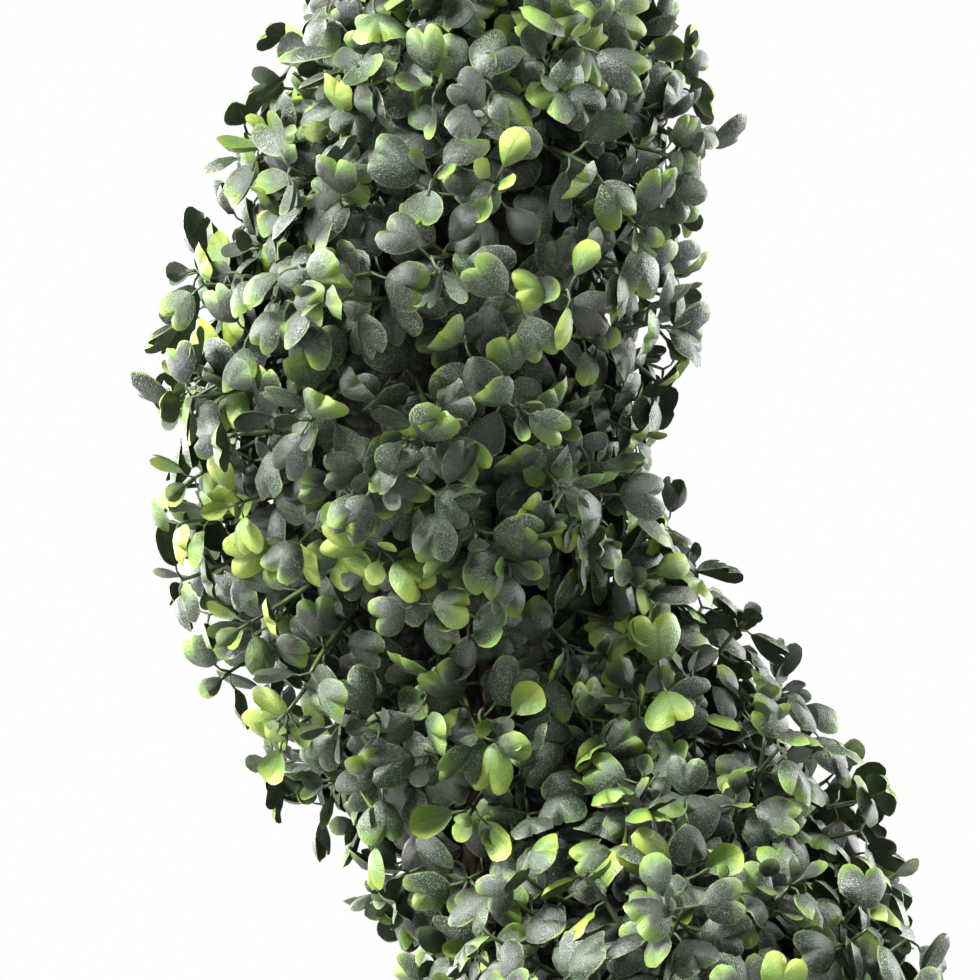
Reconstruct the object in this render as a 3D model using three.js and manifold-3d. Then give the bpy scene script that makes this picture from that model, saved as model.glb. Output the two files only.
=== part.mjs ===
// An artificial boxwood spiral topiary, four feet tall, in a plain round pot.
// A thick strand of foliage winds right-handed up round a straight stem and runs out
// in a pointed tip above it. Short boughs carry the lower turns, which stand clear of the stem.
// Millimetres, +Z up. The origin is the centre of the pot's flat underside.

import * as THREE from 'three';
import Module from 'manifold-3d';
import { mergeVertices } from 'three/addons/utils/BufferGeometryUtils.js';

const wasm = await Module();
wasm.setup();

// Overall height, and the clearance between neighbouring solids
const TOTAL_HEIGHT = 1220;
const CLEARANCE = 0.3;

// The pot: a plain tapered plastic pot with a rolled rim
const POT_HEIGHT = 168;
const POT_BASE_RADIUS = 68;
const POT_MOUTH_RADIUS = 88;
const POT_WALL = 3.5;
const POT_FLOOR = 5;
const POT_RIM_HEIGHT = 20;
const POT_RIM_OUT = 5;
const POT_EDGE = 2;
const POT_SIDES = 32;

// The fill that weighs the pot down, domed a little round the stem
const FILL_BELOW_RIM = 20;
const FILL_DOME = 6;
const FILL_CLEARANCE = 0.5;
const FILL_SHOULDER = 48;

// The stem: a straight pole that thins to its tip inside the foliage
const STEM_FOOT_HEIGHT = 22;
const STEM_TOP_HEIGHT = 1120;
const STEM_FOOT_RADIUS = 11;
const STEM_TOP_RADIUS = 5.5;
const STEM_SIDES = 12;

// The strand's centre line: a helix whose radius opens from nothing at the curl's start
const CURL_START_HEIGHT = 1002;
const CURL_START_ANGLE = -103;
const CURL_PITCH = 338;
const CURL_WIDEST = 104;
const CURL_OPENING = 318;
const STRAND_FOOT_HEIGHT = 300;

// The strand's outer radius, its pointed tip and its rounded foot
const STRAND_RADIUS = 74;
const TIP_LENGTH = 285;
const TIP_SHARPNESS = 1.5;
const FOOT_ROUNDING = 60;
const FOOT_SHARE = 0.55;

// How the strand is built: masses end to end, each a core with sprays that stand out of it
const MASS_COUNT = 12;
const LEAF_LAYER = 13;
const TIP_CORE_SHARE = 0.6;
const TIP_CORE_END = 14;
const CORE_SIDES = 14;
const CORE_SPAN = 30;
const CORE_ROUGHNESS = 3.5;
const SPRAYS_PER_MASS = 18;
const SPRAY_MARGIN = 8;
const SPRAY_TRIES = 5;
const FIRST_SEED = 9001;
const SEED_STEP = 77;
const GOLDEN_ANGLE = 137.508;

// A spray: one three-sided twig with a pair of opposite leaves and, on some, a third
const TWIG_ROOT_RADIUS = 2.2;
const TWIG_TIP_RADIUS = 1.6;
const TWIG_SUNK = 7;
const TWIG_LEAN = [-18, 30];
const LEAF_LENGTH = 30;
const LEAF_WIDTH = 21;
const LEAF_THICKNESS = 1.8;
const LEAF_WIDEST_AT = 0.62;
const LEAF_SUNK = 1.2;
const LEAF_SPREAD = [50, 74];
const LEAF_SIZES = [0.9, 1.14];
const THIRD_LEAF_SHARE = 0.25;
const SMALL_AT_REACH = 52;

// The boughs: short tapering limbs from the stem into the masses that stand clear of it
const BOUGH_ROOT_RADIUS = 5.5;
const BOUGH_TIP_RADIUS = 4;
const BOUGH_RISE = 14;
const BOUGH_ENTRY = 14;
const BOUGH_SIDES = 8;
const LIMB_ROOM = 2;

const LEAF_COLOUR = 0x3e4d33;
const BARK_COLOUR = 0x3f2219;
const POT_COLOUR = 0x2b2b2d;
const FILL_COLOUR = 0x4a3d2e;

const UP = new THREE.Vector3(0, 0, 1);
const rad = THREE.MathUtils.degToRad;

// Repeatable random numbers from 0 to 1
function seededRandom(seed) {
  let state = seed;
  return () => {
    state = (state * 1664525 + 1013904223) % 4294967296;
    return state / 4294967296;
  };
}

// A random number between the two ends of a range
function within([low, high], random) {
  return THREE.MathUtils.lerp(low, high, random());
}

// The strand's centre line at a height
function strandPoint(height) {
  const drop = Math.max(CURL_START_HEIGHT - height, 0);
  const radius = CURL_WIDEST * (1 - Math.exp(-drop / CURL_OPENING));
  const angle = rad(CURL_START_ANGLE - (360 * drop) / CURL_PITCH);
  return new THREE.Vector3(radius * Math.cos(angle), radius * Math.sin(angle), height);
}

// The curve of the strand from its foot to its tip, for arc lengths and directions
class StrandCurve extends THREE.Curve {
  getPoint(share, target = new THREE.Vector3()) {
    const height = THREE.MathUtils.lerp(STRAND_FOOT_HEIGHT, TOTAL_HEIGHT, share);
    return target.copy(strandPoint(height));
  }
}

const strand = new StrandCurve();
strand.arcLengthDivisions = 1200;
const strandLength = strand.getLength();

// Centre, direction along, and two directions across the strand, at an arc length
function strandFrame(along) {
  const share = THREE.MathUtils.clamp(along / strandLength, 0, 1);
  const centre = strand.getPointAt(share);
  const ahead = strand.getTangentAt(share);
  const turn = new THREE.Quaternion().setFromUnitVectors(UP, ahead);
  const across = new THREE.Vector3(1, 0, 0).applyQuaternion(turn);
  const side = new THREE.Vector3(0, 1, 0).applyQuaternion(turn);
  return { centre, ahead, across, side };
}

// How far the foliage reaches from the centre line at an arc length
function reachAt(along) {
  const { centre } = strandFrame(along);
  const fromTip = (TOTAL_HEIGHT - centre.z) / TIP_LENGTH;
  const tipShare = fromTip < 1 ? 1 - (1 - fromTip) ** TIP_SHARPNESS : 1;
  const fromFoot = Math.min(along / FOOT_ROUNDING, 1);
  const footShare = Math.sqrt(1 - (1 - FOOT_SHARE ** 2) * (1 - fromFoot) ** 2);
  return STRAND_RADIUS * tipShare * footShare;
}

function coreRadiusAt(along) {
  const reach = reachAt(along);
  return Math.max(reach - LEAF_LAYER, reach * TIP_CORE_SHARE);
}

// A point of the strand at an arc length, an angle round it and a distance out
function strandPlace(along, angle, distance) {
  const { centre, across, side } = strandFrame(along);
  return centre
    .addScaledVector(across, distance * Math.cos(angle))
    .addScaledVector(side, distance * Math.sin(angle));
}

// A closed geometry as a solid
function solidOf(geometry) {
  const bare = geometry.clone();
  bare.deleteAttribute('normal');
  bare.deleteAttribute('uv');
  const merged = mergeVertices(bare, 1e-4);
  return new wasm.Manifold(
    new wasm.Mesh({
      numProp: 3,
      vertProperties: Float32Array.from(merged.attributes.position.array),
      triVerts: Uint32Array.from(merged.index.array),
    })
  );
}

// A solid as a geometry
function geometryOf(solid) {
  const mesh = solid.getMesh();
  const geometry = new THREE.BufferGeometry();
  geometry.setAttribute('position', new THREE.Float32BufferAttribute(mesh.vertProperties, 3));
  geometry.setIndex([...mesh.triVerts]);
  geometry.computeVertexNormals();
  return geometry;
}

// The largest whole piece, without loose scraps or sealed hollows
function mainPiece(solid) {
  const pieces = solid.decompose();
  return pieces.reduce((best, piece) => (piece.volume() > best.volume() ? piece : best));
}

// A straight tapering limb between two points
function limbGeometry(from, to, fromRadius, toRadius, sides) {
  const length = from.distanceTo(to);
  const geometry = new THREE.CylinderGeometry(toRadius, fromRadius, length, sides);
  geometry.translate(0, length / 2, 0);
  const turn = new THREE.Quaternion().setFromUnitVectors(
    new THREE.Vector3(0, 1, 0),
    to.clone().sub(from).normalize()
  );
  geometry.applyQuaternion(turn);
  geometry.translate(from.x, from.y, from.z);
  return geometry;
}

// The stem, widened by a margin for the sockets that it runs through
function stemGeometry(margin) {
  const foot = new THREE.Vector3(0, 0, STEM_FOOT_HEIGHT - margin);
  const top = new THREE.Vector3(0, 0, STEM_TOP_HEIGHT + margin);
  return limbGeometry(foot, top, STEM_FOOT_RADIUS + margin, STEM_TOP_RADIUS + margin, STEM_SIDES);
}

function stemRadiusAt(height) {
  const share = (height - STEM_FOOT_HEIGHT) / (STEM_TOP_HEIGHT - STEM_FOOT_HEIGHT);
  return THREE.MathUtils.lerp(STEM_FOOT_RADIUS, STEM_TOP_RADIUS, THREE.MathUtils.clamp(share, 0, 1));
}

// The pot's wall, floor and rim, turned about the axis
function potGeometry() {
  const rimFoot = POT_HEIGHT - POT_RIM_HEIGHT;
  const shoulder = POT_MOUTH_RADIUS - POT_RIM_OUT;
  const profile = [
    [0, 0],
    [POT_BASE_RADIUS - POT_EDGE, 0],
    [POT_BASE_RADIUS, POT_EDGE],
    [shoulder, rimFoot],
    [POT_MOUTH_RADIUS - POT_EDGE, rimFoot],
    [POT_MOUTH_RADIUS, rimFoot + POT_EDGE],
    [POT_MOUTH_RADIUS, POT_HEIGHT - POT_EDGE],
    [POT_MOUTH_RADIUS - POT_EDGE, POT_HEIGHT],
    [shoulder - POT_WALL + POT_EDGE, POT_HEIGHT],
    [shoulder - POT_WALL, POT_HEIGHT - POT_EDGE],
    [shoulder - POT_WALL, rimFoot],
    [POT_BASE_RADIUS - POT_WALL, POT_FLOOR],
    [0, POT_FLOOR],
  ];
  const points = profile.map(([radius, height]) => new THREE.Vector2(radius, height));
  return new THREE.LatheGeometry(points, POT_SIDES).rotateX(Math.PI / 2);
}

// The fill up to a little under the rim, with the stem's socket in it
function fillSolid() {
  const rimFoot = POT_HEIGHT - POT_RIM_HEIGHT;
  const foot = POT_BASE_RADIUS - POT_WALL - FILL_CLEARANCE;
  const mouth = POT_MOUTH_RADIUS - POT_RIM_OUT - POT_WALL - FILL_CLEARANCE;
  const surface = POT_HEIGHT - FILL_BELOW_RIM;
  const profile = [
    [0, POT_FLOOR + CLEARANCE],
    [foot, POT_FLOOR + CLEARANCE],
    [mouth, rimFoot],
    [mouth, surface],
    [FILL_SHOULDER, surface + FILL_DOME],
    [0, surface + FILL_DOME],
  ];
  const points = profile.map(([radius, height]) => new THREE.Vector2(radius, height));
  const body = solidOf(new THREE.LatheGeometry(points, POT_SIDES).rotateX(Math.PI / 2));
  return body.subtract(solidOf(stemGeometry(CLEARANCE)));
}

// The core between two arc lengths: a lumpy cylinder whose rings are laid along the strand
function coreGeometry(from, to, random) {
  const spans = Math.round((to - from) / CORE_SPAN);
  const plain = new THREE.CylinderGeometry(1, 1, 1, CORE_SIDES, spans);
  plain.deleteAttribute('normal');
  plain.deleteAttribute('uv');
  const geometry = mergeVertices(plain, 1e-4);
  const places = geometry.attributes.position;
  for (let index = 0; index < places.count; index += 1) {
    const along = THREE.MathUtils.lerp(from, to, places.getY(index) + 0.5);
    const share = Math.hypot(places.getX(index), places.getZ(index));
    const angle = Math.atan2(-places.getZ(index), places.getX(index));
    const distance = coreRadiusAt(along) + within([-CORE_ROUGHNESS, CORE_ROUGHNESS], random);
    const place = strandPlace(along, angle, share * distance);
    places.setXYZ(index, place.x, place.y, place.z);
  }
  return geometry;
}

// One blade: eight faces, widest past its middle, from its root along a direction
function leafGeometry(root, direction, broadside, size) {
  const length = LEAF_LENGTH * size;
  const normal = broadside.clone().cross(direction).normalize();
  const geometry = new THREE.OctahedronGeometry(1);
  const places = geometry.attributes.position;
  for (let index = 0; index < places.count; index += 1) {
    const tipward = places.getY(index);
    const widest = Math.abs(tipward) < 0.5;
    const along = widest ? LEAF_WIDEST_AT * length : ((tipward + 1) / 2) * length;
    const place = root
      .clone()
      .addScaledVector(direction, along)
      .addScaledVector(broadside, (places.getX(index) * LEAF_WIDTH * size) / 2)
      .addScaledVector(normal, (places.getZ(index) * LEAF_THICKNESS) / 2);
    places.setXYZ(index, place.x, place.y, place.z);
  }
  return geometry;
}

function corners(geometry) {
  const places = geometry.attributes.position;
  return Array.from({ length: places.count }, (_, index) =>
    new THREE.Vector3().fromBufferAttribute(places, index)
  );
}

// Whether a twig or leaf keeps to its mass's own space, clear of the stem and the bough
function keepsClear(geometry, space) {
  return corners(geometry).every((corner) => {
    const pastFoot = corner.clone().sub(space.foot.centre).dot(space.foot.ahead);
    const beforeHead = space.head.centre.clone().sub(corner).dot(space.head.ahead);
    if (pastFoot < CLEARANCE || (space.closed && beforeHead < CLEARANCE)) return false;
    if (corner.z > TOTAL_HEIGHT) return false;
    const fromStem = Math.hypot(corner.x, corner.y) - stemRadiusAt(corner.z);
    if (corner.z < STEM_TOP_HEIGHT + LIMB_ROOM && fromStem < LIMB_ROOM) return false;
    if (!space.bough) return true;
    const nearest = space.bough.closestPointToPoint(corner, true, new THREE.Vector3());
    return nearest.distanceTo(corner) > BOUGH_ROOT_RADIUS + LIMB_ROOM;
  });
}

// The direction at an angle from one direction towards another that is square to it
function between(direction, towards, angle) {
  const turned = direction.clone().multiplyScalar(Math.cos(angle));
  return turned.addScaledVector(towards, Math.sin(angle)).normalize();
}

// A spray's twig and leaves, rooted in the core at an arc length and an angle round it
function sprayGeometries(along, angle, random) {
  const { centre, ahead } = strandFrame(along);
  const reach = reachAt(along);
  const outward = strandPlace(along, angle, 1).sub(centre).normalize();
  const lean = rad(within(TWIG_LEAN, random));
  const heading = between(outward, ahead, lean);
  const size = within(LEAF_SIZES, random) * Math.min(1, reach / SMALL_AT_REACH);
  const leafStandsOut = LEAF_LENGTH * size * Math.cos(rad(LEAF_SPREAD[0]));
  const rootDistance = coreRadiusAt(along) - Math.min(TWIG_SUNK, coreRadiusAt(along) / 2);
  const twigLength = Math.max(reach - leafStandsOut, coreRadiusAt(along)) - rootDistance;
  const root = strandPlace(along, angle, rootDistance);
  const tip = root.clone().addScaledVector(heading, twigLength);
  const twig = limbGeometry(root, tip, TWIG_ROOT_RADIUS, TWIG_TIP_RADIUS, 3);
  const sideways = outward.clone().cross(ahead).normalize();
  const turn = rad(360 * random());
  const places = random() < THIRD_LEAF_SHARE ? [0, 180, 90] : [0, 180];
  const leafRoot = tip.clone().addScaledVector(heading, -LEAF_SUNK);
  const leaves = places.map((place) => {
    const spread = rad(within(LEAF_SPREAD, random));
    const aside = sideways.clone().applyAxisAngle(heading, turn + rad(place));
    const direction = between(heading, aside, spread);
    const broadside = direction.clone().cross(heading).normalize();
    return leafGeometry(leafRoot, direction, broadside, size);
  });
  return { twig, leaves };
}

// The spray, of a few tries at turning its leaves, that keeps the most of them to the space
function fittedSpray(along, angle, random, space) {
  let best = null;
  for (let attempt = 0; attempt < SPRAY_TRIES; attempt += 1) {
    const spray = sprayGeometries(along, angle, random);
    if (!keepsClear(spray.twig, space)) continue;
    const kept = spray.leaves.filter((leaf) => keepsClear(leaf, space));
    if (!best || kept.length > best.length - 1) best = [spray.twig, ...kept];
    if (kept.length === spray.leaves.length) break;
  }
  return best && best.length > 1 ? best : [];
}

// A mass: its core with its sprays fused on, cut clear of stem and bough
function massSolid(number, from, to, closed, bough) {
  const random = seededRandom(FIRST_SEED + SEED_STEP * number);
  const space = {
    foot: strandFrame(from),
    head: strandFrame(to),
    closed,
    bough: bough ? new THREE.Line3(bough.root, bough.tip) : null,
  };
  let body = solidOf(coreGeometry(from, to, random));
  for (let count = 0; count < SPRAYS_PER_MASS; count += 1) {
    const share = (count + 0.5) / SPRAYS_PER_MASS;
    const along = THREE.MathUtils.lerp(from + SPRAY_MARGIN, to - SPRAY_MARGIN, share);
    const angle = rad(GOLDEN_ANGLE * (count + number * SPRAYS_PER_MASS));
    for (const geometry of fittedSpray(along, angle, random, space)) body = body.add(solidOf(geometry));
  }
  body = body.subtract(solidOf(stemGeometry(CLEARANCE)));
  if (bough) body = body.subtract(solidOf(boughGeometry(bough, CLEARANCE)));
  return mainPiece(body);
}

// Where a bough leaves the stem and where it ends in its mass's core
function boughFor(along) {
  const { centre } = strandFrame(along);
  const fromAxis = Math.hypot(centre.x, centre.y);
  const clearOfStem = fromAxis - coreRadiusAt(along) - stemRadiusAt(centre.z);
  if (clearOfStem < 0) return null;
  const rootCentre = new THREE.Vector3(0, 0, centre.z - BOUGH_RISE);
  const heading = centre.clone().sub(rootCentre).normalize();
  const reach = (fromAxis - coreRadiusAt(along) + BOUGH_ENTRY) / Math.hypot(heading.x, heading.y);
  return { root: rootCentre, tip: rootCentre.clone().addScaledVector(heading, reach) };
}

function boughGeometry(bough, margin) {
  const heading = bough.tip.clone().sub(bough.root).normalize();
  const tip = bough.tip.clone().addScaledVector(heading, margin);
  return limbGeometry(bough.root, tip, BOUGH_ROOT_RADIUS + margin, BOUGH_TIP_RADIUS + margin, BOUGH_SIDES);
}

function material(colour, roughness) {
  return new THREE.MeshStandardMaterial({ color: colour, roughness, metalness: 0 });
}

function piece(name, geometry, surface) {
  const mesh = new THREE.Mesh(geometry, surface);
  mesh.name = name;
  return mesh;
}

const group = new THREE.Group();
group.add(piece('pot', potGeometry(), material(POT_COLOUR, 0.55)));
group.add(piece('pot_fill', geometryOf(fillSolid()), material(FILL_COLOUR, 0.95)));
group.add(piece('stem', stemGeometry(0), material(BARK_COLOUR, 0.8)));

const massLength = strandLength / MASS_COUNT;
for (let number = 1; number <= MASS_COUNT; number += 1) {
  const from = massLength * (number - 1) + CLEARANCE / 2;
  const last = number === MASS_COUNT;
  const to = last ? strandLength - TIP_CORE_END : massLength * number - CLEARANCE / 2;
  const bough = boughFor((from + to) / 2);
  const label = String(number).padStart(2, '0');
  if (bough) {
    const limb = solidOf(boughGeometry(bough, 0)).subtract(solidOf(stemGeometry(CLEARANCE)));
    group.add(piece(`bough_${label}`, geometryOf(mainPiece(limb)), material(BARK_COLOUR, 0.8)));
  }
  const foliage = massSolid(number, from, to, !last, bough);
  group.add(piece(`foliage_${label}`, geometryOf(foliage), material(LEAF_COLOUR, 0.6)));
}

export default group;
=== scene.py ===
"""The visual model of an artificial boxwood spiral topiary in a plain pot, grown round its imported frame.

A dark core follows the strand's centre line. Twigs stand out of it by the golden angle, and each
carries opposite pairs of heart-shaped leaves. Metres, +Z up, origin under the middle of the pot.
"""

import functools
import math

import bmesh
import bpy
import numpy as np
from bpy.props import FloatProperty, FloatVectorProperty, IntProperty, PointerProperty
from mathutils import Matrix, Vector, noise


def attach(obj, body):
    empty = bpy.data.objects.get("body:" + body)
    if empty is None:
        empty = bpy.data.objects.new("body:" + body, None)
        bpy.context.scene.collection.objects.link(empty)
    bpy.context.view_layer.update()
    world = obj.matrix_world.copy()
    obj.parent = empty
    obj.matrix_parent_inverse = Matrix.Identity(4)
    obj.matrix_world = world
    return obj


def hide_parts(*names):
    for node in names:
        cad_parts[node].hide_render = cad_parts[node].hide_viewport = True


bl_info = {
    "name": "Spiral Topiary",
    "version": (1, 0, 0),
    "blender": (4, 5, 0),
    "location": "3D View > Sidebar > Topiary",
    "description": "Grows an artificial boxwood spiral in a plain pot round its packed frame",
    "category": "Object",
}

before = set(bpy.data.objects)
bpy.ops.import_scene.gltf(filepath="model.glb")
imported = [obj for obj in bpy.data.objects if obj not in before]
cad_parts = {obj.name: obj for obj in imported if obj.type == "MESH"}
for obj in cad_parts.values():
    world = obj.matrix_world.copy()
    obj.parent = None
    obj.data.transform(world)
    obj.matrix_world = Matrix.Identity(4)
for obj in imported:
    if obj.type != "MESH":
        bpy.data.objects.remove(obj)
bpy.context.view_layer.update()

MM = 0.001
UP = np.array([0.0, 0.0, 1.0])
TURN = 2 * math.pi
GOLDEN_ANGLE = math.radians(137.508)

# The strand in portions, from its foot to its tip, and the CAD masses that each portion stands for
PORTIONS = 6
MASS_COUNT = 12
MASSES = [f"foliage_{number:02d}" for number in range(1, MASS_COUNT + 1)]
BOUGHS = sorted(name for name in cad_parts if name.startswith("bough_"))

# The leaves' UV map: four by four cells, each with a disc of its own. The first three rows hold
# the upper face in twelve tones, and the last row the underside and the stalk in two tones each.
LEAF_UV = "OFBake"
CELLS_ACROSS = 4
FACE_TONES = 12
DISC = 0.45

# Sizes of the leaf material's patterns, in millimetres on the leaf
LEAF_SPAN = 7.0
CELL_GAP = 31.0
GRAIN = 0.42
MOTTLE = 5.5
SAND = 0.29

# Kinds of material node: type, own settings, the inputs that take values in this order, and the
# output that is handed on, or None for all of them
PLACE = ("ShaderNodeTexCoord", {}, (), "Object")
LEAF_PLACE = ("ShaderNodeUVMap", {"uv_map": LEAF_UV}, (), 0)
SPLIT = ("ShaderNodeSeparateXYZ", {}, (0,), None)
NOISE = ("ShaderNodeTexNoise", {}, ("Vector", "Scale", "Detail", "Roughness"), 0)
CELLS = ("ShaderNodeTexVoronoi", {}, ("Vector", "Scale", "Randomness"), None)
LOTS = ("ShaderNodeTexWhiteNoise", {"noise_dimensions": "3D"}, (0,), 1)
EASED = ("ShaderNodeMapRange", {"interpolation_type": "SMOOTHSTEP"}, (0, 1, 2, 3, 4), 0)
MIX = ("ShaderNodeMix", {"data_type": "RGBA"}, (0, 6, 7), 2)
EITHER = ("ShaderNodeMix", {}, (0, 2, 3), 0)
PLUS, MINUS, TIMES, POWER, SIZE, ABOVE, WEIGHED = (
    ("ShaderNodeMath", {"operation": operation}, (0, 1, 2), 0)
    for operation in ("ADD", "SUBTRACT", "MULTIPLY", "POWER", "ABSOLUTE", "GREATER_THAN", "MULTIPLY_ADD")
)
MOVED, MOVED_BACK, STRETCHED, FLOOR, FRACTION = (
    ("ShaderNodeVectorMath", {"operation": operation}, (0, 1), 0)
    for operation in ("ADD", "SUBTRACT", "MULTIPLY", "FLOOR", "FRACTION")
)
SCALED = ("ShaderNodeVectorMath", {"operation": "SCALE"}, (0, "Scale"), 0)
LENGTH = ("ShaderNodeVectorMath", {"operation": "LENGTH"}, (0,), "Value")
BUMP = ("ShaderNodeBump", {}, ("Height", "Distance"), 0)
SURFACE_INPUTS = ("Base Color", "Roughness", "Normal", "IOR", "Specular IOR Level")
SURFACE = ("ShaderNodeBsdfPrincipled", {}, SURFACE_INPUTS, 0)
CLEAR = ("ShaderNodeBsdfTransparent", {}, (), 0)
SEEN = ("ShaderNodeLightPath", {}, (), "Is Camera Ray")
BACKGROUND = ("ShaderNodeBackground", {}, (0, 1), 0)
MIX_SHADERS = ("ShaderNodeMixShader", {}, (0, 1, 2), 0)
OUTPUT = ("ShaderNodeOutputMaterial", {}, (0,), None)
WORLD_OUTPUT = ("ShaderNodeOutputWorld", {}, (0,), None)


def linear(colour):
    """An sRGB hex colour as linear red, green and blue."""
    parts = [((colour >> shift) & 255) / 255 for shift in (16, 8, 0)]
    return tuple(part / 12.92 if part <= 0.04045 else ((part + 0.055) / 1.055) ** 2.4 for part in parts)


def colour_property(name, description, colour):
    return FloatVectorProperty(name=name, description=description, subtype="COLOR", default=linear(colour))


def length_property(name, description, millimetres):
    return FloatProperty(name=name, description=description, default=millimetres * MM, unit="LENGTH")


class PotSettings(bpy.types.PropertyGroup):
    height: length_property("Height", "Height of the pot over its rim", 168)
    base_radius: length_property("Base radius", "Radius of the pot's underside", 68)
    mouth_radius: length_property("Mouth radius", "Radius over the rolled rim", 88)
    wall: length_property("Wall", "Thickness of the wall", 3.5)
    rim_height: length_property("Rim height", "Height of the rolled rim", 20)
    rim_out: length_property("Rim step", "How far the rim stands out of the wall", 5)
    colour: colour_property("Pot colour", "Colour of the moulded pot", 0x1B1C1E)
    fill_colour: colour_property("Fill colour", "Colour of the cement that weighs the pot down", 0x5C5449)


class StemSettings(bpy.types.PropertyGroup):
    foot_height: length_property("Foot height", "Height of the stem's foot in the cement", 22)
    top_height: length_property("Top height", "Height of the stem's tip in the foliage", 1120)
    foot_radius: length_property("Foot radius", "Radius of the stem at its foot", 11)
    top_radius: length_property("Top radius", "Radius of the stem at its tip", 5.5)
    bough_radius: length_property("Bough radius", "Radius of a bough where it leaves the stem", 5.5)
    bough_rise: length_property("Bough rise", "How far a bough climbs on its way to the strand", 14)
    colour: colour_property("Bark colour", "Colour of the bark's ridges", 0x4A2A1E)


class StrandSettings(bpy.types.PropertyGroup):
    foot_height: length_property("Foot height", "Height of the strand's foot", 300)
    total_height: length_property("Total height", "Height of the strand's tip", 1220)
    curl_start: length_property("Curl start", "Height where the curl leaves the axis", 1002)
    pitch: length_property("Pitch", "Rise of the strand in one turn", 338)
    widest: length_property("Widest", "Radius that the curl opens towards", 104)
    opening: length_property("Opening", "Drop in which most of the curl opens", 318)
    radius: length_property("Radius", "Reach of the leaves from the strand's centre line", 74)
    tip_length: length_property("Tip length", "Length of the pointed tip", 285)
    core_depth: length_property("Core depth", "Depth of the leaf layer outside the dark core", 39)
    start_angle: FloatProperty(
        name="Start angle", description="Bearing of the curl's start", subtype="ANGLE",
        default=math.radians(-103),
    )


class LeafSettings(bpy.types.PropertyGroup):
    sprays: IntProperty(name="Sprays", description="Number of sprays on the strand", default=1340)
    length: length_property("Leaf length", "Length of a heart-shaped blade", 13.0)
    width: length_property("Leaf width", "Width of a heart-shaped blade", 13.4)
    stalk: length_property("Stalk", "Length of a leaf's stalk", 4.8)
    seed: IntProperty(name="Seed", description="Seed of the sprays' variation", default=9005)
    dark: colour_property("Leaf", "Colour of the leaves", 0x0D140B)
    tip: colour_property("Tip", "Colour of the bright tips", 0x5F8222)
    back: colour_property("Underside", "Colour of the leaves' undersides", 0x37442F)


class StudioSettings(bpy.types.PropertyGroup):
    camera_distance: length_property("Camera distance", "Distance from the axis to the camera", 1000)
    camera_height: length_property("Camera height", "Height of the camera", 897.9)
    camera_aside: length_property("Camera aside", "How far the camera stands beside the axis", 0.6)
    lens: FloatProperty(name="Lens", description="Focal length in millimetres", default=126.8)
    key_power: FloatProperty(name="Key light", description="Power of the key light in watts", default=132.0)
    fill_level: FloatProperty(name="Fill", description="Strength of the light from all round", default=0.18)
    floor_radius: length_property("Floor radius", "Radius of the pale floor", 3200)
    floor_colour: colour_property("Floor", "Colour of the floor", 0xCFCFCB)


def add_node(tree, kind, *values, **settings):
    """A new node of a kind: its settings, and values or other nodes' outputs in its inputs."""
    name, own, places, out = kind
    node = tree.nodes.new(name)
    for setting, value in {**own, **settings}.items():
        setattr(node, setting, value)
    for place, value in zip(places, values):
        socket = node.inputs[place]
        if isinstance(value, bpy.types.NodeSocket):
            tree.links.new(value, socket)
        elif socket.type == "RGBA":
            colour = linear(value) if isinstance(value, int) else value
            socket.default_value = (*colour[:3], 1.0)
        else:
            socket.default_value = value
    return node.outputs if out is None else node.outputs[out]


def start_material(name):
    """An empty material, and the function that adds its nodes."""
    material = bpy.data.materials.new(name)
    material.use_nodes = True
    material.node_tree.nodes.clear()
    return material, functools.partial(add_node, material.node_tree)


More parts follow.
